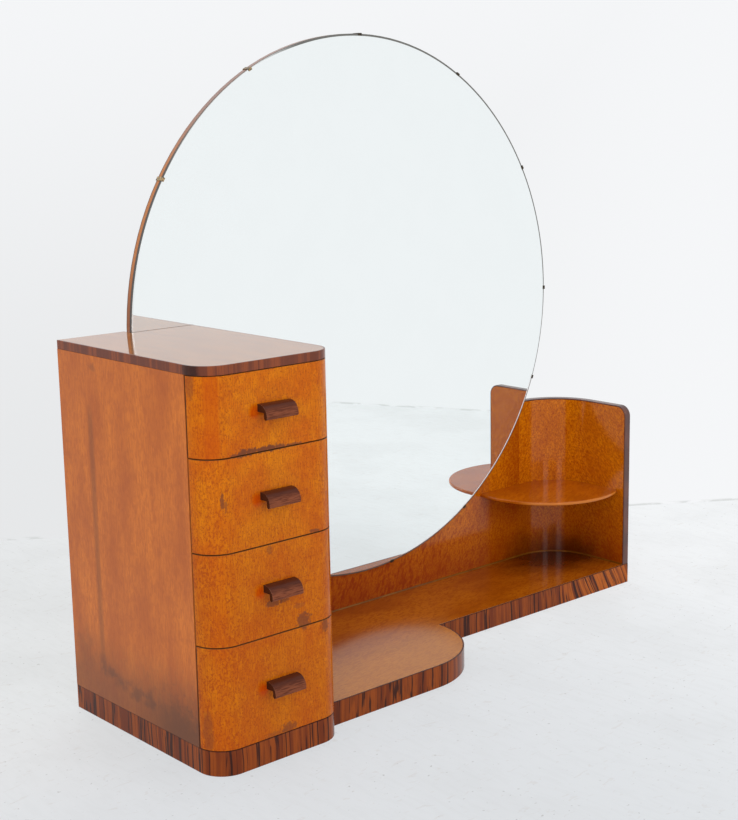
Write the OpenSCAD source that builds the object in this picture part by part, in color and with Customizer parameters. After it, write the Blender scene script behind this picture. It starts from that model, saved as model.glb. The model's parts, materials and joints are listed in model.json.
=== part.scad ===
// Dressing table with a drawer pedestal, a low platform, a round mirror and a curved wing.
// Millimetres, +Z up. The pieces are drawn in workshop coordinates: X from the pedestal's
// left side, Y from the drawer faces towards the back, Z from the floor. place() then moves
// them so that the origin is on the floor, under the middle of the whole table.

/* [Overall] */
// Width from the pedestal's left side to the outside of the wing
total_w = 1330; // [1290:5:1390]
// Depth of the pedestal from its drawer faces to its back edge
depth = 450; // [440:5:500]

/* [Pedestal] */
// Width of the pedestal
ped_w = 280; // [250:5:320]
// Height of the pedestal's top above the floor
ped_h = 700; // [680:5:740]
// Radius of the pedestal's two front corners, seen from above
corner_r = 50; // [46:1:64]
// Thickness of the side panels
side_t = 18; // [15:0.5:20]
// Thickness of the top
top_t = 16; // [12:1:20]
// Thickness of the bottom panel
bottom_t = 12; // [9:1:16]
// Thickness of the rosewood edgings and facings
edging_t = 3; // [1.5:0.5:5]

/* [Base] */
// Height of the plinth and of the platform
base_h = 45; // [40:1:60]
// Thickness of the plinth boards and of the bearers under the platform
bearer_t = 18; // [12:1:22]
// Thickness of the platform board
platform_t = 16; // [12:1:20]
// Distance from the drawer faces back to the platform's long front edge
platform_y = 211; // [190:1:230]
// Distance from the drawer faces back to the front edge of the platform's projection
projection_y = 45; // [30:1:60]
// Length of the projection from the pedestal to its far end
projection_l = 441; // [400:1:500]
// Number of cross bearers under the platform
cross_bearer_count = 3; // [2:1:4]

/* [Back board] */
// Thickness of the back board
board_t = 12; // [9:0.5:15]
// Distance of the board's back face from the pedestal's back edge
back_set = 8; // [6:0.5:12]
// Width of the rebate that takes the board in the left side panel
rebate_w = 10; // [6:0.5:12]
// Gap between the back board and the floor
floor_gap = 5; // [3:1:12]

/* [Drawers] */
// Height of the bottom drawer, from gap to gap
bottom_drawer_h = 182; // [170:1:190]
// Height of each of the two middle drawers, from gap to gap
middle_drawer_h = 160; // [150:1:170]
// Gap between one drawer face and the next
face_gap = 2; // [1:0.5:3]
// Gap between a drawer face's curved returns and the side panels
return_gap = 1.5; // [1:0.5:3]
// Thickness of a drawer face
front_t = 26; // [24:1:30]
// Thickness of the sides and back of a drawer
box_t = 10; // [8:0.5:12]
// Thickness of a drawer's plywood bottom
ply_t = 4; // [3:0.5:6]
// Depth of the grooves that hold a drawer's bottom
groove_d = 5; // [3:0.5:6]
// Height of those grooves above the lower edge of the sides
groove_z = 8; // [6:1:12]
// Play at each side of a drawer
side_play = 1; // [0.5:0.25:1.5]
// Running clearance under a drawer
run_play = 0.4; // [0.3:0.1:1]
// Play above a drawer's sides
top_play = 3; // [1:0.5:8]
// Free space behind a drawer
back_space = 15; // [10:1:30]
// Depth of the lapped dovetails in the drawer faces
lap_d = 8; // [5:0.5:9]
// Number of dovetails at each corner
tail_count = 3; // [2:1:4]

/* [Rails and runners] */
// Height of the front rails and runners
rail_h = 14; // [12:1:20]
// Height of a rail's top above the lower edge of the drawer that runs on it
rail_rise = 8; // [6:1:10]
// Depth of the front rails
rail_d = 45; // [30:1:60]
// Width of the runners
runner_w = 20; // [16:1:26]

/* [Pulls] */
// Width of a pull
pull_w = 66; // [56:1:90]
// Height of a pull
pull_h = 25; // [22:1:32]
// Distance that a pull stands out from the drawer face
pull_d = 25; // [22:1:32]
// Height of the neck that joins the pull's lip to the drawer face
neck_h = 13; // [10:0.5:14]
// Thickness of the pull's hanging lip
lip_t = 8; // [6:0.5:10]
// Radius of the pull's round shoulder
shoulder_r = 20; // [14:0.5:21]
// Distance between a pull's two screws
pull_screw_pitch = 32; // [24:1:40]
// Diameter of the screws
screw_d = 4; // [3:0.5:5]

/* [Mirror] */
// Radius of the round mirror
mirror_r = 565; // [545:1:580]
// Height of the mirror's centre above the floor
mirror_z = 682; // [660:1:700]
// Thickness of the glass
glass_t = 5; // [4:0.5:6]
// Width of the bevel round the glass
bevel_w = 3.5; // [2:0.5:15]
// Depth of that bevel
bevel_t = 1; // [0.5:0.25:2.5]
// Gap between the glass and the pedestal
glass_play = 0.3; // [0.2:0.1:1]
// Width of a mirror clip
clip_w = 8; // [6:0.5:12]
// Thickness of a mirror clip
clip_t = 1.2; // [0.8:0.1:2]
// Reach of a mirror clip over the glass
clip_reach = 4; // [3:0.5:10]
// Depth to which the lower clips are driven into the back board
clip_drive = 8; // [5:0.5:10]

/* [Wing] */
// Height of the wing above the platform
wing_h = 375; // [300:5:400]
// Thickness of the wing
wing_t = 18; // [14:0.5:19]
// Inner radius of the wing's bend
wing_r = 104; // [80:1:130]
// Gap between the glass and the place where the wing starts to bend
bend_gap = 0.4; // [0.2:0.1:5]
// Radius of the wing's top front corner
wing_corner_r = 24; // [12:1:60]
// Length of the wing's straight tail next to the back board
wing_tail = 16; // [8:1:30]
// Width of the batten behind the joint of wing and back board
batten_w = 40; // [25:1:60]

/* [Shelf] */
// Height of the shelf's top above the platform
shelf_rise = 177; // [140:1:182]
// Thickness of the shelf
shelf_t = 8; // [7:0.5:14]
// Radius of the shelf's front edge
shelf_r = 177; // [165:1:190]
// Distance from the wing's inner face to the centre of that radius
shelf_in_x = 76; // [60:1:90]
// Distance from the back board to the centre of that radius
shelf_in_y = 38; // [20:1:48]
// Radius of the shelf's rounded arrises
nose_r = 3; // [1.5:0.5:4]
// Depth of the housing that carries the shelf's edges
housing_d = 3; // [2:0.5:5]
// Size of the bead in the corner between platform and walls
bead_r = 3; // [2:0.5:10]

/* [Hidden] */
$fn = 96;

// Levels and planes that several pieces share
board_back = depth - back_set;
board_y = board_back - board_t;
glass_y = board_y - glass_t;
carcase_top = ped_h - top_t;
panel_y = corner_r + return_gap;

// Wing and shelf in plan
wing_top = base_h + wing_h;
wall_x = total_w - wing_t;
arc_x = wall_x - wing_r;
arc_y = board_y - wing_r;
seam_x = arc_x - wing_tail;
wing_outer_r = wing_r + wing_t;
wing_back = board_y + wing_t;
shelf_x = wall_x - shelf_in_x;
shelf_y = board_y - shelf_in_y;
shelf_z = base_h + shelf_rise - shelf_t;

// The mirror stands next to the wing: at the wing's top its edge meets the start of the bend
function glass_half(z) = sqrt(pow(mirror_r, 2) - pow(mirror_z - z, 2));
mirror_x = arc_x - bend_gap - glass_half(wing_top);
// Right-hand edge of the glass at height z
function glass_edge(z) = mirror_x + glass_half(z);

// Projection of the platform: a quarter circle that meets the long front edge squarely
projection_r = platform_y - projection_y;
projection_x = ped_w + projection_l - projection_r;

// Drawers, numbered 1 to 4 from the top
DRAWERS = [1, 2, 3, 4];
function drawer_floor(i) = base_h + (i < 4 ? bottom_drawer_h : 0) + max(0, 3 - i) * middle_drawer_h;
function drawer_top(i) = i == 1 ? carcase_top : drawer_floor(i - 1);
function rail_top(i) = i == 4 ? base_h + bottom_t : drawer_floor(i) + rail_rise;
function box_floor(i) = rail_top(i) + run_play;
function box_top(i) = (i == 1 ? carcase_top : rail_top(i - 1)) - rail_h - top_play;
function back_floor(i) = box_floor(i) + groove_z + ply_t;
function pull_z(i) = (drawer_floor(i) + drawer_top(i)) / 2;
box_x0 = side_t + side_play;
box_x1 = ped_w - box_x0;
box_back = board_y - back_space;
// Clearance of glued joints, and of screws in their holes
glue = 0.05;
screw_play = 0.1;
// Screws of the back board and clips: shank, head and depth in the wood
small_screw_d = 3;
small_head_d = 6;
small_head_t = 1.5;
small_screw_l = 9;
// Length of a strap clip's foot behind the board
clip_foot = 12;
// Amount by which a cutting shape passes the face that it cuts
over = 1;

// Angles of the clips with a free edge behind them, and of those that stand on the low wall
FREE_CLIP_ANGLES = [0, 29.7, 59.4, 89.1, 118.8, 148.5, -21.5];
WALL_CLIP_ANGLES = [-58, -82.5];

// Shared shapes

module place() {
    translate([-total_w / 2, -(depth - pull_d) / 2, 0]) children();
}

module block(low, high) {
    translate(low) cube(high - low);
}

module quarter_disc(r) {
    intersection() {
        circle(r);
        square(r);
    }
}

// Plan of the pedestal with its round front corners, drawn in by inset at front and sides
module pedestal_plan(inset = 0) {
    translate([inset, corner_r]) square([ped_w - 2 * inset, depth - corner_r]);
    translate([corner_r, inset]) square([ped_w - 2 * corner_r, depth - inset]);
    for (x = [corner_r, ped_w - corner_r]) translate([x, corner_r]) circle(corner_r - inset);
}

// Plan of the platform, drawn in by inset along its visible edges
module platform_plan(inset = 0) {
    front = platform_y + inset;
    translate([ped_w, front]) square([seam_x - ped_w, board_y - front]);
    translate([seam_x, front]) square([arc_x - seam_x, wing_back - front]);
    translate([arc_x, front]) square([total_w - inset - arc_x, arc_y - front]);
    translate([arc_x, arc_y]) quarter_disc(wing_outer_r - inset);
    translate([ped_w, projection_y + inset]) square([projection_x - ped_w, projection_r - inset]);
    translate([projection_x, platform_y]) mirror([0, 1]) quarter_disc(projection_r - inset);
    translate([ped_w, platform_y - over]) square([projection_x - ped_w, inset + over]);
    if (inset > 0)
        translate([projection_x, platform_y]) square([projection_r - inset, inset + over]);
}

// Plan of the wing: straight tail, bend and straight front part
module wing_plan() {
    translate([seam_x, board_y]) square([arc_x - seam_x, wing_t]);
    translate([wall_x, platform_y]) square([wing_t, arc_y - platform_y]);
    translate([arc_x, arc_y]) difference() {
        quarter_disc(wing_outer_r);
        circle(wing_r);
    }
}

// Outline of the wing seen from the side, drawn in by inset at its front and top edges
module wing_side(inset = 0) {
    r = wing_corner_r - inset;
    front = platform_y + inset;
    translate([front, base_h]) square([wing_back - front, wing_top - wing_corner_r - base_h]);
    translate([platform_y + wing_corner_r, base_h])
        square([wing_back - platform_y - wing_corner_r, wing_top - inset - base_h]);
    translate([platform_y + wing_corner_r, wing_top - wing_corner_r]) circle(r);
}

module wing_shape(inset = 0) {
    intersection() {
        translate([0, 0, base_h]) linear_extrude(wing_h) wing_plan();
        translate([seam_x, 0, 0]) rotate([90, 0, 90])
            linear_extrude(total_w - seam_x) wing_side(inset);
    }
}

// Space in front of the walls, grown by reach into them
module nook_plan(reach = 0) {
    left = shelf_x - shelf_r;
    low = shelf_y - shelf_r - over;
    translate([left, low]) square([arc_x - left, board_y + reach - low]);
    translate([arc_x, low]) square([wall_x + reach - arc_x, arc_y - low]);
    translate([arc_x, arc_y]) quarter_disc(wing_r + reach);
}

// Disc with rounded arrises: half of its section, turned about the centre
module shelf_disc(play = 0) {
    r = shelf_r + play;
    translate([shelf_x, shelf_y, shelf_z - play]) rotate_extrude($fn = 180) {
        square([r - nose_r, shelf_t + 2 * play]);
        translate([0, nose_r]) square([r, shelf_t + 2 * play - 2 * nose_r]);
        for (z = [nose_r, shelf_t + 2 * play - nose_r]) translate([r - nose_r, z]) circle(nose_r);
    }
}

// The shelf with its edges in the housings; play makes the cutting shape of the housings.
// It stops short of the glass.
module shelf_shape(play = 0) {
    difference() {
        intersection() {
            shelf_disc(play);
            translate([0, 0, shelf_z - over]) linear_extrude(shelf_t + 2 * over)
                nook_plan(housing_d - glue + play);
        }
        block([0, glass_y - glass_play, shelf_z - over],
              [glass_edge(shelf_z + shelf_t) + glass_play, depth, shelf_z + shelf_t + over]);
    }
}

// Hole for a small screw, to both sides of the plane y = 0
module small_hole(depth_each_way) {
    rotate([90, 0, 0])
        cylinder(h = 2 * depth_each_way, d = small_screw_d + 2 * screw_play, center = true);
}

// Wood screw along +Y: the head lies on the plane y = 0 and the shank goes to y = length
module screw(length, shank_d, head_d, head_t) {
    rotate([-90, 0, 0]) cylinder(h = length, d = shank_d);
    rotate([90, 0, 0]) intersection() {
        cylinder(h = head_t, d = head_d);
        translate([0, 0, head_t - head_d]) sphere(head_d);
    }
}

// Pedestal

module top_notch() {
    block([mirror_x - mirror_r - glass_play, board_y, carcase_top - over],
          [ped_w + over, depth + over, ped_h + over]);
}

module pedestal_top() {
    color("peru") place() difference() {
        translate([0, 0, carcase_top]) linear_extrude(top_t) pedestal_plan(edging_t);
        top_notch();
    }
}

module top_edging() {
    color("saddlebrown") place() difference() {
        translate([0, 0, carcase_top]) linear_extrude(top_t) difference() {
            pedestal_plan();
            pedestal_plan(edging_t);
        }
        top_notch();
    }
}

// Rebate behind the left side for the back board
module left_rebate() {
    block([side_t - rebate_w, board_y, -over], [side_t + bearer_t, depth + over, ped_h]);
}

module left_side_panel() {
    color("chocolate") place() difference() {
        block([0, panel_y, base_h], [side_t, depth, carcase_top]);
        left_rebate();
        board_screw_places() small_hole(board_t + small_screw_l + screw_play);
    }
}

module right_side_panel() {
    color("chocolate") place() difference() {
        block([ped_w - side_t, panel_y, base_h], [ped_w, board_y, carcase_top]);
        board_screw_places() small_hole(board_t + small_screw_l + screw_play);
    }
}

module pedestal_bottom() {
    color("burlywood") place()
        block([side_t, panel_y, base_h], [ped_w - side_t, board_y, base_h + bottom_t]);
}

// Rail under drawer i - 1; the first one lies under the pedestal's top
module front_rail(i) {
    top = i == 1 ? carcase_top : rail_top(i - 1);
    color("tan") place()
        block([side_t, panel_y, top - rail_h], [ped_w - side_t, panel_y + rail_d, top]);
}

// Pair of runners that carry drawer i
module runners(i) {
    low = rail_top(i) - rail_h;
    color("tan") place() for (x = [side_t, ped_w - side_t - runner_w])
        block([x, panel_y + rail_d, low], [x + runner_w, board_y, rail_top(i)]);
}

// Plinth of the pedestal

module plinth_front() {
    color("burlywood") place() linear_extrude(base_h) difference() {
        pedestal_plan(edging_t);
        translate([0, corner_r]) square([ped_w, depth]);
        translate([edging_t + bearer_t, edging_t + bearer_t])
            square([ped_w - 2 * (edging_t + bearer_t), depth]);
    }
}

module plinth_left() {
    color("burlywood") place() difference() {
        block([edging_t, corner_r, 0], [edging_t + bearer_t, depth, base_h]);
        left_rebate();
    }
}

module plinth_right() {
    color("burlywood") place()
        block([ped_w - edging_t - bearer_t, corner_r, 0], [ped_w - edging_t, board_y, base_h]);
}

module plinth_facing() {
    color("saddlebrown") place() difference() {
        linear_extrude(base_h) difference() {
            pedestal_plan();
            pedestal_plan(edging_t);
        }
        block([ped_w / 2, board_y, -over], [ped_w + over, depth + over, base_h + over]);
    }
}

// Back board and mirror

// One board: back of the pedestal, low wall behind the platform and round back of the mirror,
// which is cut away over the wing's tail
module board_outline() {
    left = side_t - rebate_w + glue;
    translate([left, floor_gap]) square([ped_w - left, carcase_top - floor_gap]);
    translate([ped_w - over, floor_gap]) square([seam_x - ped_w + over, wing_top - floor_gap]);
    difference() {
        translate([mirror_x, mirror_z]) circle(mirror_r, $fn = 360);
        translate([seam_x, 0]) square([mirror_r, wing_top + glue]);
    }
}

module back_board() {
    color("sienna") place() difference() {
        translate([0, board_back, 0]) rotate([90, 0, 0]) linear_extrude(board_t) board_outline();
        shelf_shape(glue);
        board_screw_places() small_hole(board_t + over);
        clip_screw_places() small_hole(clip_t + small_screw_l + screw_play);
        around_mirror(WALL_CLIP_ANGLES) driven_leg(glue);
    }
}

// Glass with a bevel round its front, cut square where it meets the pedestal
module mirror_glass() {
    color("lightcyan") place() difference() {
        translate([mirror_x, board_y, mirror_z]) rotate([90, 0, 0]) rotate_extrude($fn = 360)
            polygon([[0, 0], [mirror_r, 0], [mirror_r, glass_t - bevel_t],
                     [mirror_r - bevel_w, glass_t], [0, glass_t]]);
        block([mirror_x - mirror_r - over, glass_y - over, mirror_z - mirror_r - over],
              [ped_w + glass_play, board_y + over, ped_h + glass_play]);
    }
}

// Clips, drawn for the mirror's right-hand edge
clip_edge = mirror_r + glass_play;

// Part of a clip that lies over the glass
module clip_lip() {
    translate([mirror_r - clip_reach, glass_y - clip_t, -clip_w / 2])
        cube([clip_reach + glass_play + clip_t, clip_t, clip_w]);
}

// Strap clip round the free edge of the board, with its foot screwed on behind
module strap_clip() {
    clip_lip();
    translate([clip_edge, glass_y - clip_t, -clip_w / 2])
        cube([clip_t, board_back - glass_y + 2 * clip_t, clip_w]);
    translate([clip_edge - clip_foot, board_back, -clip_w / 2]) cube([clip_foot + clip_t, clip_t, clip_w]);
    translate([clip_edge - clip_foot, board_back + clip_t, 0]) rotate([90, 0, 0])
        cylinder(h = clip_t, d = clip_w);
}

// Clip driven into the board, where the board goes on past the mirror
module driven_clip() {
    clip_lip();
    driven_leg();
}

// Its leg, with play as the cutting shape of its slot
module driven_leg(play = 0) {
    translate([clip_edge - play, glass_y - clip_t, -clip_w / 2 - play])
        cube([clip_t + 2 * play, board_y + clip_drive + play - glass_y + clip_t, clip_w + 2 * play]);
}

module around_mirror(angles) {
    for (a = angles) translate([mirror_x, 0, mirror_z]) rotate([0, -a, 0]) children();
}

module mirror_clips() {
    color("dimgray") place() difference() {
        union() {
            around_mirror(FREE_CLIP_ANGLES) strap_clip();
            around_mirror(WALL_CLIP_ANGLES) driven_clip();
        }
        clip_screw_places() small_hole(clip_t + over);
    }
}

// Where the strap clips' screws go in behind the board: children point along -Y
module clip_screw_places() {
    around_mirror(FREE_CLIP_ANGLES) translate([mirror_r - clip_foot, board_back + clip_t, 0])
        mirror([0, 1, 0]) children();
}

// Screws that hold the back board to the left side, the right side and the platform's bearer
module board_screw_places() {
    for (z = [base_h + bottom_t, carcase_top / 2, carcase_top - bearer_t]) {
        translate([side_t - rebate_w / 2, board_back, z]) mirror([0, 1, 0]) children();
        translate([ped_w - side_t / 2, board_back, z]) mirror([0, 1, 0]) children();
    }
    for (x = [ped_w + bearer_t, (ped_w + seam_x) / 2, seam_x - bearer_t])
        translate([x, board_back, (base_h - platform_t) / 2]) mirror([0, 1, 0]) children();
}

module back_screws() {
    color("dimgray") place() {
        board_screw_places()
            screw(board_t + small_screw_l, small_screw_d, small_head_d, small_head_t);
        clip_screw_places()
            screw(clip_t + small_screw_l, small_screw_d, small_head_d, small_head_t);
    }
}

// Platform

module platform_board() {
    color("peru") place() translate([0, 0, base_h - platform_t])
        linear_extrude(platform_t) platform_plan(edging_t);
}

module platform_facing() {
    color("saddlebrown") place() linear_extrude(base_h) difference() {
        platform_plan();
        platform_plan(edging_t);
    }
}

// Space under the platform board, inside its facing
bearer_h = base_h - platform_t;
bearer_front = platform_y + edging_t;
bearer_right = total_w - edging_t;

module front_bearer() {
    color("burlywood") place()
        block([ped_w, bearer_front, 0], [bearer_right - bearer_t, bearer_front + bearer_t, bearer_h]);
}

module back_bearer() {
    color("burlywood") place() difference() {
        block([ped_w, board_y - bearer_t, 0], [seam_x, board_y, bearer_h]);
        board_screw_places() small_hole(board_t + small_screw_l + screw_play);
    }
}

// Straight end and bent corner behind the facing, as far as the wing's tail
module end_bearer() {
    color("burlywood") place() linear_extrude(bearer_h) {
        translate([bearer_right - bearer_t, bearer_front]) square([bearer_t, arc_y - bearer_front]);
        translate([arc_x, arc_y]) difference() {
            quarter_disc(wing_outer_r - edging_t);
            circle(wing_outer_r - edging_t - bearer_t);
        }
        translate([seam_x, wing_back - edging_t - bearer_t]) square([arc_x - seam_x, bearer_t]);
    }
}

module projection_bearer() {
    front = projection_y + edging_t;
    color("burlywood") place() linear_extrude(bearer_h) {
        translate([ped_w, front]) square([projection_x - ped_w, bearer_t]);
        translate([projection_x, platform_y]) mirror([0, 1]) difference() {
            quarter_disc(projection_r - edging_t);
            circle(projection_r - edging_t - bearer_t);
        }
        translate([projection_x + projection_r - edging_t - bearer_t, platform_y])
            square([bearer_t, edging_t]);
    }
}

module cross_bearers() {
    pitch = (seam_x - ped_w) / (cross_bearer_count + 1);
    color("burlywood") place() for (k = [1:cross_bearer_count])
        block([ped_w + k * pitch - bearer_t / 2, bearer_front + bearer_t, 0],
              [ped_w + k * pitch + bearer_t / 2, board_y - bearer_t, bearer_h]);
}

// Wing, shelf and bead

module wing_panel() {
    color("darkorange") place() difference() {
        wing_shape(edging_t);
        shelf_shape(glue);
    }
}

module wing_edging() {
    color("saddlebrown") place() difference() {
        wing_shape();
        wing_shape(edging_t);
    }
}

// Batten glued behind the back board, against the end of the wing's tail
module wing_batten() {
    color("burlywood") place()
        block([seam_x - batten_w, board_back, base_h], [seam_x, wing_back, wing_top - edging_t]);
}

module shelf() {
    color("peru") place() shelf_shape();
}

// Quadrant bead along the low wall, round the bend and along the wing
module corner_bead() {
    color("sandybrown") place() translate([0, 0, base_h]) {
        translate([ped_w, board_y, 0]) rotate([90, 0, 90])
            linear_extrude(arc_x - ped_w) mirror([1, 0]) quarter_disc(bead_r);
        translate([arc_x, arc_y, 0]) rotate_extrude(angle = 90, $fn = 120)
            translate([wing_r, 0]) mirror([1, 0]) quarter_disc(bead_r);
        translate([wall_x, arc_y, 0]) rotate([90, 0, 0])
            linear_extrude(arc_y - platform_y - edging_t) mirror([1, 0]) quarter_disc(bead_r);
    }
}

// Drawers

// Side view of the dovetails of a corner: they point along +X from x = 0 and widen outwards
module tails(length, low, high, grow = 0) {
    pitch = (high - low) / tail_count;
    root = pitch * 0.3;
    tip = root + length / 6;
    for (k = [0:tail_count - 1]) translate([0, low + (k + 0.5) * pitch])
        polygon([[-over, -root - grow + over / 6], [length + grow, -tip - grow],
                 [length + grow, tip + grow], [-over, root + grow - over / 6]]);
}

// Face with round corners; the drawer's sides are let into its back with lapped dovetails
module drawer_front(i) {
    low = drawer_floor(i) + face_gap / 2;
    high = drawer_top(i) - face_gap / 2;
    color("orange") place() difference() {
        translate([0, 0, low]) linear_extrude(high - low) intersection() {
            pedestal_plan();
            square([ped_w, corner_r]);
        }
        block([box_x0, front_t, low - over], [box_x1, corner_r + over, high + over]);
        for (x = [box_x0 - glue, box_x1 - box_t - glue]) translate([x, front_t, 0])
            tail_cut(box_t + 2 * glue, box_floor(i), box_top(i), lap_d, -1);
        block([box_x0 + box_t - groove_d, front_t - groove_d, box_floor(i) + groove_z - glue],
              [box_x1 - box_t + groove_d, front_t + over, box_floor(i) + groove_z + ply_t + glue]);
        pull_screw_places(i) rotate([-90, 0, 0])
            cylinder(h = 3 * front_t, d = screw_d + 2 * screw_play, center = true);
    }
}

// Cutting shape of a row of dovetails, width wide in X, pointing to +Y or -Y from y = 0
module tail_cut(width, low, high, length, way) {
    rotate([90, 0, 90]) linear_extrude(width) mirror([way < 0 ? 1 : 0, 0])
        tails(length, low, high, glue);
}

// Side of a drawer: lapped dovetails in front, through dovetails behind, groove for the bottom
module drawer_side(i, x) {
    inner = x < ped_w / 2 ? x + box_t - groove_d : x - over;
    color("wheat") place() difference() {
        translate([x, 0, 0]) rotate([90, 0, 90]) linear_extrude(box_t) {
            translate([front_t, box_floor(i)])
                square([box_back - box_t - front_t, box_top(i) - box_floor(i)]);
            translate([front_t, 0]) mirror([1, 0]) tails(lap_d, box_floor(i), box_top(i));
            translate([box_back - box_t, 0]) tails(box_t, back_floor(i), box_top(i));
            translate([box_back - box_t - over, box_floor(i)])
                square([box_t + over, groove_z + ply_t]);
        }
        block([inner, 0, box_floor(i) + groove_z - glue],
              [inner + groove_d + over, depth, box_floor(i) + groove_z + ply_t + glue]);
    }
}

module drawer_left_side(i) {
    drawer_side(i, box_x0);
}

module drawer_right_side(i) {
    drawer_side(i, box_x1 - box_t);
}

module drawer_back(i) {
    color("wheat") place() difference() {
        block([box_x0, box_back - box_t, back_floor(i) + glue], [box_x1, box_back, box_top(i)]);
        for (x = [box_x0 - glue, box_x1 - box_t - glue]) translate([x, box_back - box_t, 0])
            tail_cut(box_t + 2 * glue, back_floor(i), box_top(i), box_t, 1);
    }
}

// Plywood bottom in the grooves of the face and sides; it runs out under the drawer's back
module drawer_bottom(i) {
    edge = box_t - groove_d + glue;
    low = box_floor(i) + groove_z;
    color("burlywood") place()
        block([box_x0 + edge, front_t - groove_d + glue, low], [box_x1 - edge, box_back, low + ply_t]);
}

// Section of a pull: thick neck, round shoulder and hanging lip; X goes out from the face
module pull_section() {
    nose = lip_t / 2;
    difference() {
        union() {
            square([pull_d - shoulder_r, pull_h]);
            square([pull_d, pull_h - shoulder_r]);
            translate([pull_d - shoulder_r, pull_h - shoulder_r]) quarter_disc(shoulder_r);
        }
        translate([-over, -over]) square([pull_d - lip_t + over, pull_h - neck_h + over]);
        translate([pull_d - lip_t - over, -over]) square([lip_t + 2 * over, nose + over]);
    }
    translate([pull_d - nose, nose]) circle(nose);
}

module drawer_pull(i) {
    color("maroon") place() difference() {
        translate([ped_w / 2 - pull_w / 2, 0, pull_z(i) - pull_h / 2]) rotate([90, 0, 90])
            linear_extrude(pull_w) mirror([1, 0]) pull_section();
        pull_screw_places(i) rotate([90, 0, 0]) translate([0, 0, -over])
            cylinder(h = front_t + pull_screw_depth + screw_play + over, d = screw_d + 2 * screw_play);
    }
}

// Depth of the screws in a pull's neck, and size of their heads
pull_screw_depth = 14;
pull_head_d = 8;
pull_head_t = 2.5;

// Where the screws of a pull go in, on the back of the drawer face
module pull_screw_places(i) {
    for (s = [-1, 1]) translate([ped_w / 2 + s * pull_screw_pitch / 2, front_t,
                                 pull_z(i) + (pull_h - neck_h) / 2]) children();
}

module drawer_pull_screws(i) {
    color("silver") place() pull_screw_places(i) mirror([0, 1, 0])
        screw(front_t + pull_screw_depth, screw_d, pull_head_d, pull_head_t);
}

pedestal_top();
top_edging();
left_side_panel();
right_side_panel();
pedestal_bottom();
for (i = [1:4]) front_rail(i);
for (i = [1:3]) runners(i);
plinth_front();
plinth_left();
plinth_right();
plinth_facing();
back_board();
mirror_glass();
mirror_clips();
back_screws();
platform_board();
platform_facing();
front_bearer();
back_bearer();
end_bearer();
projection_bearer();
cross_bearers();
wing_panel();
wing_edging();
wing_batten();
shelf();
corner_bead();
for (i = DRAWERS) drawer_front(i);
for (i = DRAWERS) drawer_left_side(i);
for (i = DRAWERS) drawer_right_side(i);
for (i = DRAWERS) drawer_back(i);
for (i = DRAWERS) drawer_bottom(i);
for (i = DRAWERS) drawer_pull(i);
for (i = DRAWERS) drawer_pull_screws(i);
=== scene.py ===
"""Looks of the dressing table: finishes, worn edges, backdrop, light and camera.

Metres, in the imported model's frame: +Z up, +X from the drawer pedestal towards the wing,
+Y from the drawer faces to the back, origin on the floor under the middle of the table.
"""

import json
import math

import bmesh
import bpy
from mathutils import Matrix, Vector

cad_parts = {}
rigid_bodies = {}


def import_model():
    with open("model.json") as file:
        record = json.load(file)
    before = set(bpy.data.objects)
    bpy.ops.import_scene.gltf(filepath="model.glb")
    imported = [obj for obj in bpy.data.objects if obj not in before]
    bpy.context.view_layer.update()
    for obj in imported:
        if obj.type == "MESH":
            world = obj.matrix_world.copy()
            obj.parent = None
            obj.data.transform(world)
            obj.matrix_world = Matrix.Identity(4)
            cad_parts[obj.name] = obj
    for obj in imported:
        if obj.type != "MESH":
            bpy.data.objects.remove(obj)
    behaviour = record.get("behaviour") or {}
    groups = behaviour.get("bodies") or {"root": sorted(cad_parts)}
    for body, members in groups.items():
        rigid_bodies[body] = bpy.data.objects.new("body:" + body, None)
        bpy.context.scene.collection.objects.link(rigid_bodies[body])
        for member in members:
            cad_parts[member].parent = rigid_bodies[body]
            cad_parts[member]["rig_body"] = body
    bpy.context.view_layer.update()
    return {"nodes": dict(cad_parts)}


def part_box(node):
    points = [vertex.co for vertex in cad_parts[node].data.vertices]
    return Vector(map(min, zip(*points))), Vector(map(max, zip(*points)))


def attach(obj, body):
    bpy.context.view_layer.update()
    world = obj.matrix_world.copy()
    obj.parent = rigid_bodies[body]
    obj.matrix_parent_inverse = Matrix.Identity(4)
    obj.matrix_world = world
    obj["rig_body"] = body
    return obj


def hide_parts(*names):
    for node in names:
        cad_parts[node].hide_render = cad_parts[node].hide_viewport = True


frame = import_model()

# Landmarks of the table

MM = 0.001
pedestal_low, pedestal_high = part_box("plinth_facing")
board_low, board_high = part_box("back_board")
glass_low, glass_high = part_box("mirror_glass")
base_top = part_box("platform_facing")[1].z
joint_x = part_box("wing_panel")[0].x
batten_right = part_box("wing_batten")[1].x
shelf_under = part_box("shelf")[0].z
corner_r = 50 * MM
pedestal_mid_x = (pedestal_low.x + pedestal_high.x) / 2
pedestal_half = (pedestal_high.x - pedestal_low.x) / 2

DRAWERS = (1, 2, 3, 4)
SKIN = 0.2 * MM

# Widths in from the glass's edge: the bevel's pale painted reflection, the dark line, how much
# narrower the line is at the left and wider at the upper right, and the softness of their inner
# edges
BEVEL_IN = 5.4 * MM
LINE_IN = 3.1 * MM
LINE_LESS = 1.9 * MM
LINE_MORE = 1.3 * MM
SOFT = 0.4 * MM


def at(x, y, z):
    """Place x, y and z millimetres from the pedestal's front left corner on the floor."""
    return Vector((pedestal_low.x + x * MM, pedestal_low.y + y * MM, z * MM))


def from_left(x):
    """X of a line that lies x millimetres from the pedestal's left side."""
    return at(x, 0, 0).x


def from_front(y):
    """Y of a line that lies y millimetres behind the pedestal's front."""
    return at(0, y, 0).y


# Heights above the floor of the pulls and of the gaps round the drawer faces

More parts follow.
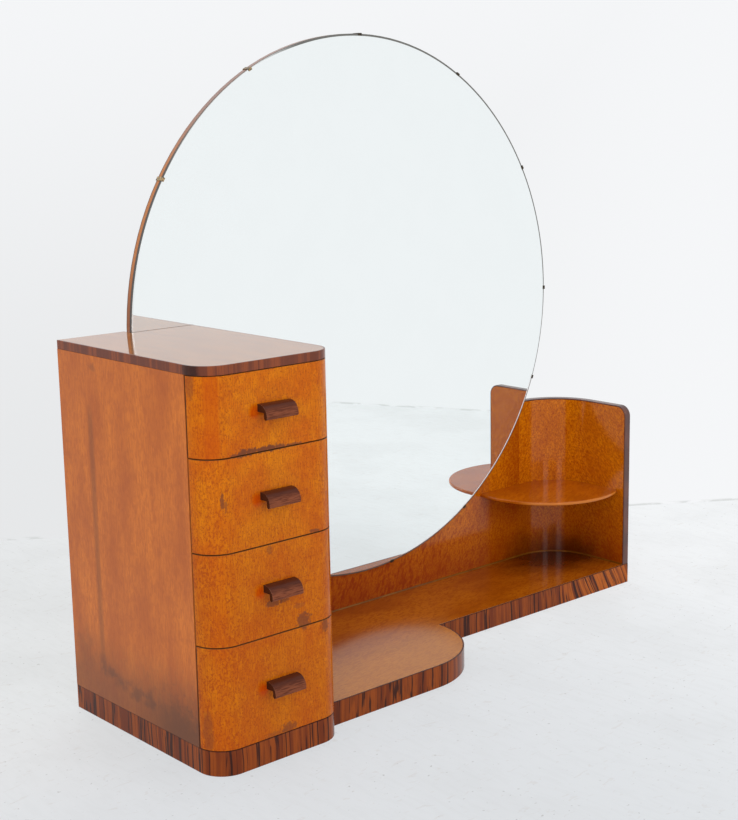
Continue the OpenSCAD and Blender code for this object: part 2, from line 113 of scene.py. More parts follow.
PULL_HEIGHTS = (615.5 * MM, 467 * MM, 307 * MM, 136 * MM)
PLINTH_TOP = 45 * MM
LOWEST_GAP = 227 * MM
MIDDLE_GAP = 387 * MM
TOP_GAP = 547 * MM
FACES_TOP = 684 * MM
GAPS = (PLINTH_TOP, LOWEST_GAP, MIDDLE_GAP, TOP_GAP, FACES_TOP)

# Heights between which stains, painted shades and the bevel's painted reflection set in or end,
# and their softness. The foot's shade counts from the platform, and the tide line wanders by
# its wave.

DRAWERS_LOW_SHADE = (0.60, 0.25)
DRAWERS_MOTTLED = (0.58, 0.30)
SIDE_RUN = (0.16, 0.56)
SIDE_RUN_SOFT = 0.05
SIDE_TIDE = (0.150, 0.010)
SIDE_TIDE_WAVE = 0.09
JOINT_SHADE = (0.12, 0.20)
FOOT_SHADE = 0.16
BEVEL_REFLECTION_HEIGHTS = (0.17, 0.46)
BEVEL_REFLECTION_SOFT = 0.05
LINE_WIDER = (0.55, 0.75)
RIM_PALER = (0.74, 0.84)
RIM_FADE = (0.98, 1.12)

# Colours, linear

DRAWER_GLOW = (0.800, 0.270, 0.0040)
DRAWER_GOLD = (0.640, 0.184, 0.0025)
DRAWER_ORANGE = (0.560, 0.122, 0.0025)
DRAWER_DOT = (0.330, 0.050, 0.0050)
# Painted shade of the lower drawers and of the round corners
DRAWER_LOW_SHADE = (0.410, 0.080, 0.0030)
DRAWER_CORNER_SHADE = (0.490, 0.072, 0.0010)
# Painted shade beside the pulls
DRAWER_PULL_SHADE = (0.520, 0.036, 0.0004)
DRAWER_SCAR = (0.180, 0.050, 0.0180)
DRAWER_EDGE = (0.210, 0.110, 0.0460)
SIDE_BRIGHT = (0.630, 0.164, 0.0110)
SIDE_DEEP = (0.460, 0.104, 0.0080)
SIDE_DARKER = (0.360, 0.070, 0.0060)
SIDE_STAIN = (0.140, 0.042, 0.0120)
WALL_GOLD = (0.620, 0.180, 0.0020)
WALL_RED = (0.410, 0.080, 0.0010)
WALL_FOOT = (0.400, 0.040, 0.0006)
# Dots of the burl, also laid on as painted shade, and the painted shade of the low corner
WALL_DOT_AND_SHADE = (0.230, 0.018, 0.0004)
WALL_SHADE = (0.048, 0.006, 0.0003)
TOP_BRIGHT = (0.460, 0.170, 0.038)
TOP_DEEP = (0.320, 0.100, 0.024)
# Painted light on the platform's front
PLATFORM_LIT = (0.540, 0.190, 0.0100)
PLATFORM_BRIGHT = (0.420, 0.106, 0.0040)
PLATFORM_DEEP = (0.250, 0.046, 0.0010)
SHELF_BRIGHT = (0.490, 0.116, 0.0030)
SHELF_DEEP = (0.320, 0.060, 0.0020)
# Painted highlight on the shelf's edge
SHELF_EDGE_HIGHLIGHT = (0.600, 0.190, 0.0260)
BEAD_OLIVE = (0.230, 0.078, 0.0050)
BEAD_DEEP = (0.160, 0.048, 0.0030)
ROSEWOOD_FLAME = (0.500, 0.122, 0.0130)
ROSEWOOD_ORANGE = (0.290, 0.062, 0.0085)
ROSEWOOD_BROWN = (0.160, 0.030, 0.0070)
ROSEWOOD_BLACK = (0.026, 0.009, 0.0070)
EDGING_RED = (0.245, 0.058, 0.0190)
EDGING_DEEP = (0.140, 0.036, 0.0180)
WING_EDGING_BROWN = (0.145, 0.054, 0.0390)
WING_EDGING_DEEP = (0.090, 0.039, 0.0340)
RIM_BROWN = (0.520, 0.185, 0.0500)
RIM_GREY = (0.340, 0.200, 0.1600)
RIM_RED = (0.320, 0.105, 0.0300)
RIM_DARK = (0.110, 0.040, 0.0300)
# Painted shade in the gaps round the drawer faces
GAP_SHADE = (0.020, 0.007, 0.0030)
BARE_LIGHT = (0.52, 0.33, 0.16)
BARE_DARK = (0.36, 0.20, 0.085)
PLY_LIGHT = (0.58, 0.41, 0.22)
PLY_DARK = (0.44, 0.28, 0.13)
PULL_BROWN = (0.215, 0.058, 0.0230)
# Pull: dark grain, also painted shade on top; painted shade of the ends; wear and painted
# highlight of the arrises
PULL_DARK_AND_SHADE = (0.065, 0.014, 0.0060)
PULL_END_SHADE = (0.030, 0.010, 0.0050)
PULL_WEAR_AND_HIGHLIGHT = (0.330, 0.150, 0.0950)
MIRROR_TINT = (0.930, 0.965, 0.960)
MIRROR_HAZE = (0.915, 0.950, 0.945)
MIRROR_METAL = 0.97
# Painted reflection on the mirror's bevel
BEVEL_PAINTED_REFLECTION = (0.93, 0.95, 0.95)
GLASS_LINE = (0.080, 0.074, 0.062)
GLASS_LINE_BROWN = (0.085, 0.052, 0.040)
GLASS_EDGE = (0.100, 0.110, 0.110)
GLASS_EDGE_PALE = (0.330, 0.270, 0.240)
STEEL_DARK = (0.16, 0.13, 0.10)
STEEL_LIGHT = (0.42, 0.36, 0.28)
CLIP_BRASS = (0.62, 0.42, 0.20)
CLIP_BLACK = (0.022, 0.018, 0.014)


# Node materials


class Finish:
    """One node material. Its methods add a node and return the socket that goes on."""

    def __init__(self, name, roughness, specular=0.5, metallic=0.0, coat=0.0):
        self.material = bpy.data.materials.new(name)
        self.material.use_nodes = True
        self.tree = self.material.node_tree
        self.shader = self.tree.nodes["Principled BSDF"]
        self.shader.inputs["Roughness"].default_value = roughness
        self.shader.inputs["Specular IOR Level"].default_value = specular
        self.shader.inputs["Metallic"].default_value = metallic
        self.shader.inputs["Coat Weight"].default_value = coat
        self.place = self.add("ShaderNodeTexCoord").outputs["Object"]

    def add(self, kind, **settings):
        """A new node with the given settings."""
        node = self.tree.nodes.new(kind)
        for name, value in settings.items():
            setattr(node, name, value)
        return node

    def feed(self, socket, value):
        """Links the value to the socket, or sets it there if it is a plain one."""
        if isinstance(value, bpy.types.NodeSocket):
            self.tree.links.new(value, socket)
        elif isinstance(value, tuple) and socket.type == "RGBA":
            socket.default_value = (*value, 1.0)
        else:
            socket.default_value = value

    def math(self, operation, a, b=0.0):
        node = self.add("ShaderNodeMath", operation=operation)
        self.feed(node.inputs[0], a)
        self.feed(node.inputs[1], b)
        return node.outputs[0]

    def vector(self, operation, a, b):
        node = self.add("ShaderNodeVectorMath", operation=operation)
        self.feed(node.inputs[0], a)
        self.feed(node.inputs[1], b)
        return node.outputs[0]

    def grain_place(self, grain, centre=(0, 0, 0), turn=(0, 0, 0), where=None):
        """Place on the piece, counted in grains of the given size from the centre."""
        node = self.add("ShaderNodeMapping", vector_type="TEXTURE")
        self.feed(node.inputs["Vector"], where or self.place)
        node.inputs["Location"].default_value = centre
        node.inputs["Rotation"].default_value = turn
        node.inputs["Scale"].default_value = grain
        return node.outputs["Vector"]

    def noise_node(self, where, detail, warp=0.0):
        node = self.add("ShaderNodeTexNoise")
        self.feed(node.inputs["Vector"], where)
        node.inputs["Scale"].default_value = 1.0
        node.inputs["Detail"].default_value = detail
        node.inputs["Distortion"].default_value = warp
        return node

    def noise(self, grain, detail=2.0, warp=0.0, turn=(0, 0, 0), where=None):
        """Noise between about 0.3 and 0.7 with blobs of the size of a grain."""
        place = self.grain_place(grain, turn=turn, where=where)
        return self.noise_node(place, detail, warp).outputs["Fac"]

    def wander(self, grain, reach):
        """The place, shifted by a slow noise of the given reach in every direction."""
        noise = self.noise_node(self.grain_place(grain), 1.0).outputs["Color"]
        centred = self.vector("SUBTRACT", noise, (0.5, 0.5, 0.5))
        return self.vector("ADD", self.place, self.vector("MULTIPLY", centred, (reach,) * 3))

    def step(self, value, low, high):
        """0 below low, 1 above high, smooth in between; low may be the higher one."""
        node = self.add("ShaderNodeMapRange", interpolation_type="SMOOTHSTEP")
        flip = low > high
        self.feed(node.inputs["Value"], value)
        node.inputs["From Min"].default_value = min(low, high)
        node.inputs["From Max"].default_value = max(low, high)
        node.inputs["To Min"].default_value = 1.0 if flip else 0.0
        node.inputs["To Max"].default_value = 0.0 if flip else 1.0
        return node.outputs["Result"]

    def between(self, value, low, high, soft):
        """1 between low and high, falling to 0 over the soft width outside them."""
        rise = self.step(value, low - soft, low)
        return self.math("MULTIPLY", rise, self.step(value, high + soft, high))

    def mix(self, amount, a, b):
        """Colour a where the amount is 0, colour b where it is 1."""
        node = self.add("ShaderNodeMix", data_type="RGBA")
        self.feed(node.inputs[0], amount)
        self.feed(node.inputs[6], a)
        self.feed(node.inputs[7], b)
        return node.outputs[2]

    def part(self, value, share):
        """The value times a share."""
        return self.math("MULTIPLY", value, share)

    def all_of(self, mask, *others):
        """1 only where each mask is 1."""
        for other in others:
            mask = self.math("MULTIPLY", mask, other)
        return mask

    def outside(self, mask):
        """1 where the mask is 0."""
        return self.math("SUBTRACT", 1.0, mask)

    def stain(self, colour, mask, share, other):
        """The colour, with a share of another one laid over it where the mask is 1."""
        return self.mix(self.part(mask, share), colour, other)

    def along(self, axis):
        """X, Y or Z of the place, in metres."""
        node = self.add("ShaderNodeSeparateXYZ")
        self.feed(node.inputs[0], self.place)
        return node.outputs[axis]

    def facing(self, axis):
        """How far the surface faces along +X, +Y or +Z, from -1 to 1."""
        node = self.add("ShaderNodeSeparateXYZ")
        self.feed(node.inputs[0], self.add("ShaderNodeNewGeometry").outputs["True Normal"])
        return node.outputs[axis]

    def worn(self):
        """1 on the rounded arrises of a piece, 0 elsewhere."""
        return self.add("ShaderNodeAttribute", attribute_name="arris").outputs["Fac"]

    def distance(self, centre, size):
        """Distance from the centre, counted in the given half sizes."""
        node = self.add("ShaderNodeVectorMath", operation="LENGTH")
        self.feed(node.inputs[0], self.grain_place(size, centre=centre))
        return node.outputs["Value"]

    def blot(self, centre, size, ragged=0.5, grain=0.012, soft=0.45):
        """1 inside an uneven blot of the given half sizes, 0 outside."""
        uneven = self.part(self.noise((grain,) * 3, detail=3), 2 * ragged)
        reach = self.math("ADD", self.distance(centre, size), uneven)
        return self.step(reach, 1.0 + ragged, 1.0 - soft + ragged)

    def bump(self, height, strength, distance=MM):
        """Makes the surface look slightly uneven."""
        node = self.add("ShaderNodeBump")
        node.inputs["Strength"].default_value = strength
        node.inputs["Distance"].default_value = distance
        self.feed(node.inputs["Height"], height)
        self.feed(self.shader.inputs["Normal"], node.outputs["Normal"])

    def paint(self, colour):
        """Sets the colour and gives back the material."""
        self.feed(self.shader.inputs["Base Color"], colour)
        return self.material


# Stains and scars: place, half size, strength

DRAWER_SCARS = [
    (at(60, 0, 549), (0.014, 0.010, 0.0040), 0.8),
    (at(77, 0, 551), (0.019, 0.010, 0.0085), 1.0),
    (at(93, 0, 551), (0.014, 0.010, 0.0070), 0.9),
    (at(113, 0, 550), (0.017, 0.010, 0.0055), 1.0),
    (at(133, 0, 551), (0.014, 0.010, 0.0075), 1.0),
    (at(152, 0, 550), (0.018, 0.010, 0.0050), 0.9),
    (at(180, 0, 549), (0.024, 0.010, 0.0032), 0.8),
    (at(32, 4, 474), (0.004, 0.012, 0.018), 0.8),
    (at(38, 2, 466), (0.003, 0.012, 0.012), 0.6),
    (at(222, 0, 391), (0.014, 0.010, 0.0040), 0.8),
    (at(122, 0, 377), (0.007, 0.010, 0.0100), 0.5),
    (at(128, 0, 283), (0.018, 0.010, 0.0070), 0.8),
    (at(150, 0, 284), (0.012, 0.010, 0.0060), 0.7),
    (at(184, 0, 266), (0.014, 0.010, 0.0060), 0.35),
    (at(191, 0, 237), (0.018, 0.010, 0.0180), 0.8),
    (at(240, 0, 216), (0.012, 0.010, 0.0140), 0.75),
    (at(152, 0, 54), (0.022, 0.010, 0.0100), 0.65),
    (at(120, 0, 50), (0.030, 0.010, 0.0050), 0.4),
]
DRAWER_SMEARS = [
    (at(2, 38, 668), (0.010, 0.010, 0.030), 0.45),
    (at(4, 30, 78), (0.010, 0.014, 0.045), 0.45),
]
SIDE_SPOTS = [
    (at(0, 352, 120), (0.02, 0.022, 0.030), 0.45),
    (at(0, 330, 104), (0.02, 0.034, 0.020), 0.60),
    (at(0, 292, 94), (0.02, 0.036, 0.020), 0.60),
    (at(0, 240, 88), (0.02, 0.030, 0.028), 0.65),
    (at(0, 196, 88), (0.02, 0.026, 0.030), 0.70),
    (at(0, 120, 70), (0.02, 0.070, 0.035), 0.45),
    (at(0, 410, 130), (0.02, 0.040, 0.070), 0.25),
    (at(0, 335, 664), (0.02, 0.014, 0.010), 0.35),
]
TOP_DENTS = [at(101, 276, 700), at(176, 291, 700), at(45, 107, 700), at(197, 176, 700)]


def marked(finish, colour, marks, mark_colour, **shape):
    """The colour with each mark of a list laid over it as an uneven blot."""
    for centre, size, strength in marks:
        blot = finish.blot(centre, size, **shape)
        colour = finish.stain(colour, blot, strength, mark_colour)
    return colour


def drawer_burl(wood, across, high):
    """Golden burl with soft red-brown dots; painted shade darkens lower drawers, reddens the
    top one's corner.
    """
    cloud = wood.noise((0.070, 0.070, 0.090), detail=3)
    curl = wood.noise((0.009, 0.009, 0.014), detail=3, warp=0.6)
    fibre = wood.noise((0.0018, 0.0018, 0.020), detail=2)
    dense = wood.noise((0.030, 0.030, 0.045), detail=2)
    specks = wood.noise((0.0028, 0.0028, 0.0036), detail=2)
    dots = wood.noise((0.0036, 0.0036, 0.0046), detail=3)
    dots = wood.math("ADD", dots, wood.part(dense, 0.30))
    colour = wood.mix(wood.step(cloud, 0.38, 0.62), DRAWER_ORANGE, DRAWER_GOLD)
    # Painted shade: the lower drawers are darker
    colour = wood.stain(colour, wood.step(high, *DRAWERS_LOW_SHADE), 0.45, DRAWER_LOW_SHADE)
    colour = wood.stain(colour, wood.step(curl, 0.46, 0.68), 0.22, DRAWER_GLOW)
    colour = wood.stain(colour, wood.step(fibre, 0.45, 0.62), 0.40, DRAWER_DOT)
    colour = wood.stain(colour, wood.step(specks, 0.56, 0.65), 0.65, DRAWER_DOT)
    mottled = wood.math("ADD", wood.part(wood.step(high, *DRAWERS_MOTTLED), 0.20), 0.34)
    by_corner = wood.step(across, from_left(90), from_left(25))
    mottled = wood.math("ADD", mottled, wood.part(by_corner, 0.20))
    dots = wood.all_of(wood.step(dots, 0.67, 0.80), mottled)
    colour = wood.mix(dots, colour, DRAWER_DOT)
    # Painted shade on the round corners, strongest on the top drawer
    top_drawer = wood.step(high, TOP_GAP - 2 * MM, TOP_GAP + 1 * MM)
    end = wood.all_of(wood.step(across, from_left(16), from_left(8)), top_drawer)
    colour = wood.stain(colour, end, 0.30, DRAWER_CORNER_SHADE)
    band = wood.between(across, from_left(15), from_left(29), 6 * MM)
    band_strength = wood.math("ADD", wood.part(top_drawer, 0.45), 0.15)
    colour = wood.mix(wood.all_of(band, band_strength), colour, DRAWER_CORNER_SHADE)
    wood.bump(wood.math("ADD", wood.part(fibre, 0.3), curl), 0.06)
    return colour


def drawer_veneer():
    """Burl of the drawer faces, with its scars and smears, and painted shade beside the pulls
    and in the gaps.
    """
    wood = Finish("drawer_veneer", roughness=0.15, specular=0.10)
    across = wood.along("X")
    high = wood.along("Z")
    colour = drawer_burl(wood, across, high)
    for z in PULL_HEIGHTS:
        # Painted shade beside each pull
        beside_pull = (from_left(101), from_front(0), z)
        pull_shade = wood.step(wood.distance(beside_pull, (0.015, 0.02, 0.016)), 1.0, 0.3)
        colour = wood.stain(colour, pull_shade, 0.60, DRAWER_PULL_SHADE)
    colour = marked(wood, colour, DRAWER_SCARS, DRAWER_SCAR, ragged=0.9, grain=0.005)
    colour = marked(wood, colour, DRAWER_SMEARS, DRAWER_SCAR, ragged=0.4, grain=0.02)
    # Painted shade in the gap at the rear of the faces' returns, lighter on the middle drawers
    rear = wood.step(wood.along("Y"), from_front(46.8), from_front(48.2))
    middle_drawers = wood.between(high, LOWEST_GAP + 1 * MM, TOP_GAP - 1 * MM, 2 * MM)
    rear_gap_shade = wood.math("SUBTRACT", 0.95, wood.part(middle_drawers, 0.40))
    colour = wood.mix(wood.all_of(rear, rear_gap_shade), colour, GAP_SHADE)
    edge = wood.step(wood.math("ABSOLUTE", wood.facing("Z")), 0.60, 0.95)
    colour = wood.stain(colour, edge, 0.85, DRAWER_EDGE)
    upright = wood.outside(edge)
    # Painted shade in the gaps between and round the drawer faces
    for z in GAPS:
        gap = wood.between(high, z - 0.9 * MM, z + 0.9 * MM, 0.7 * MM)
        colour = wood.stain(colour, wood.all_of(gap, upright), 0.80, GAP_SHADE)
    colour = wood.stain(colour, wood.all_of(wood.worn(), upright), 0.6, DRAWER_SCAR)
    return wood.paint(colour)


def side_veneer():
    """Plain upright veneer, stained dark by water along its foot and in one run."""
    wood = Finish("side_veneer", roughness=0.20, specular=0.28)
    cloud = wood.noise((0.06, 0.06, 0.16), detail=3)
    streak = wood.noise((0.02, 0.016, 0.70), detail=2, warp=0.2)
    fibre = wood.noise((0.0020, 0.0020, 0.016), detail=2)
    patch = wood.noise((0.010, 0.009, 0.013), detail=3, warp=0.8)
    colour = wood.mix(wood.step(cloud, 0.26, 0.72), SIDE_DEEP, SIDE_BRIGHT)
    colour = wood.stain(colour, wood.step(streak, 0.50, 0.66), 0.30, SIDE_DEEP)
    colour = wood.stain(colour, wood.step(patch, 0.56, 0.38), 0.30, SIDE_DARKER)
    colour = wood.stain(colour, wood.step(fibre, 0.45, 0.62), 0.40, SIDE_DARKER)
    across = wood.along("Y")
    high = wood.along("Z")
    run = wood.between(across, from_front(346), from_front(352), 9 * MM)
    run_height = wood.between(high, *SIDE_RUN, SIDE_RUN_SOFT)
    left_panel = wood.step(wood.along("X"), from_left(60), from_left(20))
    run = wood.all_of(run, run_height, left_panel)
    colour = wood.stain(colour, run, 0.40, SIDE_STAIN)
    tide = wood.math("SUBTRACT", high, wood.part(patch, SIDE_TIDE_WAVE))
    foot = wood.step(tide, *SIDE_TIDE)
    near_front = wood.step(across, from_front(280), from_front(90))
    damp = wood.math("ADD", wood.part(near_front, 0.35), 0.62)
    colour = wood.mix(wood.all_of(foot, damp), colour, SIDE_STAIN)
    colour = marked(wood, colour, SIDE_SPOTS, SIDE_STAIN, ragged=1.0, grain=0.016, soft=0.9)
    wood.bump(wood.math("ADD", wood.part(fibre, 0.3), patch), 0.06)
    return wood.paint(colour)


def wall_veneer():
    """Burl of the wing and of the low wall, mottled at a slant.

    It is painted darker beside their joint, under the shelf and along its foot, and darkest in
    the low corner: painted shade.
    """
    wood = Finish("wall_veneer", roughness=0.10, specular=0.26)
    cloud = wood.noise((0.09, 0.09, 0.11), detail=2)
    mottle = wood.noise((0.0036, 0.0036, 0.0150), detail=3, warp=0.3, turn=(-0.7, 0.7, 0))
    stroke = wood.noise((0.0055, 0.0055, 0.0170), detail=3, warp=0.4, turn=(0, 0.35, 0))
    specks = wood.noise((0.0034, 0.0034, 0.0044), detail=2)
    colour = wood.stain(WALL_GOLD, wood.step(cloud, 0.58, 0.36), 0.35, WALL_RED)
    colour = wood.stain(colour, wood.step(mottle, 0.38, 0.64), 0.85, WALL_RED)
    colour = wood.stain(colour, wood.step(specks, 0.58, 0.68), 0.45, WALL_DOT_AND_SHADE)
    across = wood.along("X")
    high = wood.along("Z")
    redder = wood.step(across, from_left(1000), from_left(500))
    colour = wood.stain(colour, redder, 0.25, WALL_FOOT)
    left = wood.step(across, batten_right, from_left(800))
    strength = wood.math("ADD", wood.part(left, 0.45), 0.22)
    stroke = wood.all_of(wood.step(stroke, 0.46, 0.64), strength)
    colour = wood.mix(stroke, colour, WALL_DOT_AND_SHADE)
    # Painted shade beside the joint and under the shelf
    shade_beside_joint = wood.all_of(wood.step(across, joint_x - 70 * MM, joint_x - 5 * MM),
                               wood.step(across, joint_x + 1.5 * MM, joint_x),
                               wood.step(high, *JOINT_SHADE))
    colour = wood.stain(colour, shade_beside_joint, 0.45, WALL_DOT_AND_SHADE)
    shade_under_shelf = wood.all_of(wood.step(high, shelf_under - 105 * MM, shelf_under - 30 * MM),
                              wood.step(high, shelf_under + 4 * MM, shelf_under),
                              wood.step(across, from_left(1010), from_left(1090)),
                              wood.step(across, from_left(1270), from_left(1150)))
    colour = wood.stain(colour, shade_under_shelf, 0.50, WALL_DOT_AND_SHADE)
    # Painted shade along the foot and in the low inside corner
    low = wood.step(high, base_top + FOOT_SHADE, base_top)
    colour = wood.stain(colour, low, 0.55, WALL_DOT_AND_SHADE)
    corner = wood.blot(at(1260, 370, 40), (0.20, 0.17, 0.095), ragged=0.3, grain=0.05, soft=0.9)
    inside = wood.step(wood.math("ADD", wood.facing("X"), wood.facing("Y")), 0.3, -0.3)
    colour = wood.stain(colour, wood.all_of(corner, inside), 0.85, WALL_SHADE)
    wood.bump(mottle, 0.05)
    return wood.paint(colour)


def top_veneer():
    """Walnut of the pedestal's top under a high gloss, with small dents."""
    wood = Finish("top_veneer", roughness=0.09, specular=0.5, coat=0.30)
    cloud = wood.noise((0.022, 0.12, 0.05), detail=3, warp=0.3)
    fibre = wood.noise((0.0022, 0.040, 0.0022), detail=2)
    colour = wood.stain(TOP_BRIGHT, wood.step(cloud, 0.64, 0.36), 0.6, TOP_DEEP)
    colour = wood.stain(colour, wood.step(fibre, 0.42, 0.68), 0.4, TOP_DEEP)
    for centre in TOP_DENTS:
        dent = wood.blot(centre, (0.0035, 0.0035, 0.0035))
        colour = wood.stain(colour, dent, 0.9, SIDE_STAIN)
    ripple = wood.noise((0.03, 0.06, 0.05), detail=1)
    wood.bump(wood.math("ADD", wood.part(fibre, 0.1), ripple), 0.04)
    return wood.paint(colour)


def platform_veneer():
    """Brown veneer with fine grain along the platform, glossy, with painted light on the front
    by the pedestal and painted shade in the corner.
    """
    wood = Finish("platform_veneer", roughness=0.16, specular=0.22)
    cloud = wood.noise((0.20, 0.08, 0.08), detail=3)
    figure = wood.noise((0.016, 0.0055, 0.0055), detail=3, warp=1.0, turn=(0, 0, 0.25))
    fibre = wood.noise((0.022, 0.0013, 0.0013), detail=2)
    colour = wood.stain(PLATFORM_BRIGHT, wood.step(cloud, 0.64, 0.36), 0.7, PLATFORM_DEEP)
    # Painted light on the front of the platform by the pedestal
    pale = wood.step(wood.along("Y"), from_front(300), from_front(120))
    by_pedestal = wood.step(wood.along("X"), from_left(800), from_left(700))
    pale = wood.all_of(pale, by_pedestal)
    colour = wood.stain(colour, pale, 0.8, PLATFORM_LIT)
    figured = wood.math("SUBTRACT", 0.60, wood.part(pale, 0.38))
    figured = wood.all_of(wood.step(figure, 0.46, 0.60), figured)
    colour = wood.mix(figured, colour, PLATFORM_DEEP)
    colour = wood.stain(colour, wood.step(fibre, 0.45, 0.70), 0.25, PLATFORM_DEEP)
    # Painted shade in the corner by the wing
    corner = wood.blot(at(1260, 370, 45), (0.22, 0.14, 0.05), ragged=0.3, grain=0.05, soft=0.9)
    colour = wood.stain(colour, corner, 0.80, WALL_SHADE)
    wood.bump(wood.math("ADD", wood.part(fibre, 0.3), figure), 0.04)
    return wood.paint(colour)


def shelf_veneer():
    """Orange-brown wood of the corner shelf, with a painted highlight along the middle of its
    edge.
    """
    wood = Finish("shelf_veneer", roughness=0.12, specular=0.24)
    cloud = wood.noise((0.10, 0.05, 0.05), detail=2)
    figure = wood.noise((0.030, 0.0070, 0.0070), detail=3, warp=0.8, turn=(0, 0, 0.5))
    fibre = wood.noise((0.026, 0.0016, 0.0016), detail=2)
    colour = wood.stain(SHELF_BRIGHT, wood.step(cloud, 0.64, 0.36), 0.6, SHELF_DEEP)
    colour = wood.stain(colour, wood.step(figure, 0.46, 0.62), 0.55, SHELF_DEEP)
    colour = wood.stain(colour, wood.step(fibre, 0.42, 0.70), 0.35, SHELF_DEEP)
    # Painted highlight on the edge
    edge = wood.step(wood.math("ABSOLUTE", wood.facing("Z")), 0.7, 0.4)
    middle = wood.between(wood.along("X"), from_left(1085), from_left(1295), 15 * MM)
    colour = wood.stain(colour, wood.all_of(edge, middle), 0.8, SHELF_EDGE_HIGHLIGHT)
    wood.bump(fibre, 0.04)
    return wood.paint(colour)


def striped(finish, sway, orange, brown, black, lean=0.0):
    """Upright stripes of three colours that sway a little and may lean over."""
    where = finish.wander((0.12, 0.12, 0.12), sway)
    shift = finish.add("ShaderNodeCombineXYZ")
    finish.feed(shift.inputs[0], finish.math("MULTIPLY", finish.along("Z"), lean))
    where = finish.vector("ADD", where, shift.outputs[0])
    band = finish.noise((0.016, 0.016, 1.2), detail=2, where=where)
    line = finish.noise((0.0062, 0.0062, 1.0), detail=2, where=where)
    thread = finish.noise((0.0026, 0.0026, 0.5), detail=1, where=where)
    fibre = finish.noise((0.0013, 0.0013, 0.05), detail=2)
    colour = finish.mix(finish.step(band, 0.42, 0.60), orange, brown)
    colour = finish.stain(colour, finish.step(thread, 0.52, 0.64), 0.45, brown)
    colour = finish.stain(colour, finish.step(line, 0.54, 0.60), 0.92, black)
    finish.bump(fibre, 0.05)
    return finish.stain(colour, finish.step(fibre, 0.45, 0.70), 0.2, brown)


def rosewood():
    """Stripes from orange-brown to near black, with a thin dark line along the top."""
    wood = Finish("rosewood", roughness=0.20, specular=0.14)
    right = wood.step(wood.along("X"), from_left(1050), from_left(1180))
    orange = wood.mix(right, ROSEWOOD_ORANGE, ROSEWOOD_FLAME)
    front = wood.step(wood.facing("Y"), -0.8, -0.98)
    lean = wood.part(wood.all_of(right, front), 0.55)
    colour = striped(wood, 0.014, orange, ROSEWOOD_BROWN, ROSEWOOD_BLACK, lean)
    top_line = wood.step(wood.along("Z"), base_top - 1.8 * MM, base_top - 0.8 * MM)
    return wood.paint(wood.stain(colour, top_line, 0.6, ROSEWOOD_BLACK))


def edging_wood():
    """Rosewood round the top: red-brown, softly banded, nearly black on the left corner."""
    wood = Finish("edging_wood", roughness=0.18, specular=0.22)
    colour = striped(wood, 0.006, EDGING_RED, EDGING_DEEP, EDGING_DEEP)
    corner = wood.blot(at(3, 36, 692), (0.014, 0.024, 0.030), ragged=0.3, soft=0.6)
    return wood.paint(wood.stain(colour, corner, 0.85, ROSEWOOD_BLACK))


def wing_edging_wood():
    """Dark purple-brown edging of the wing."""
    wood = Finish("wing_edging_wood", roughness=0.24, specular=0.40)
    cloud = wood.noise((0.03, 0.03, 0.06), detail=2)
    fibre = wood.noise((0.0013, 0.0013, 0.03), detail=2)
    colour = wood.mix(wood.step(cloud, 0.40, 0.64), WING_EDGING_DEEP, WING_EDGING_BROWN)
    colour = wood.stain(colour, wood.step(fibre, 0.42, 0.68), 0.3, WING_EDGING_DEEP)
    wood.bump(fibre, 0.08)
    return wood.paint(colour)


def board_rim():
    """Brown edge of the back board, darker along both of its arrises, greyer high up."""
    wood = Finish("board_rim", roughness=0.30, specular=0.35)
    fibre = wood.noise((0.0016, 0.0016, 0.03), detail=2)
    high = wood.along("Z")
    colour = wood.mix(wood.step(high, *RIM_PALER), RIM_RED, RIM_BROWN)
    colour = wood.stain(colour, wood.step(fibre, 0.42, 0.68), 0.3, RIM_RED)
    faded = wood.step(high, *RIM_FADE)
    colour = wood.mix(faded, colour, RIM_GREY)
    middle = (board_low.y + board_high.y) / 2
    off = wood.math("ABSOLUTE", wood.math("SUBTRACT", wood.along("Y"), middle))
    arris = wood.step(off, 3.2 * MM, 5.2 * MM)
    arris = wood.all_of(arris, wood.outside(wood.part(faded, 0.8)))
    colour = wood.mix(arris, colour, RIM_DARK)
    wood.bump(fibre, 0.1)
    return wood.paint(colour)


def bead_wood():
    """Olive-brown bead in the corner."""
    wood = Finish("bead_wood", roughness=0.25, specular=0.25)
    fibre = wood.noise((0.05, 0.05, 0.010), detail=2)
    wood.bump(fibre, 0.05)
    return wood.paint(wood.mix(wood.step(fibre, 0.40, 0.62), BEAD_DEEP, BEAD_OLIVE))


def bare_wood(name, light, dark, grain):
    """Plain wood without polish, with its grain along one axis."""
    wood = Finish(name, roughness=0.6, specular=0.25)
    cloud = wood.noise(tuple(20 * g for g in grain), detail=2)
    rings = wood.noise(tuple(4 * g for g in grain), detail=2, warp=0.5)
    fibre = wood.noise(grain, detail=2)
    colour = wood.stain(light, wood.step(cloud, 0.35, 0.65), 0.35, dark)
    colour = wood.stain(colour, wood.step(rings, 0.50, 0.64), 0.40, dark)
    colour = wood.stain(colour, wood.step(fibre, 0.45, 0.65), 0.40, dark)
    wood.bump(fibre, 0.2)
    return wood.paint(colour)


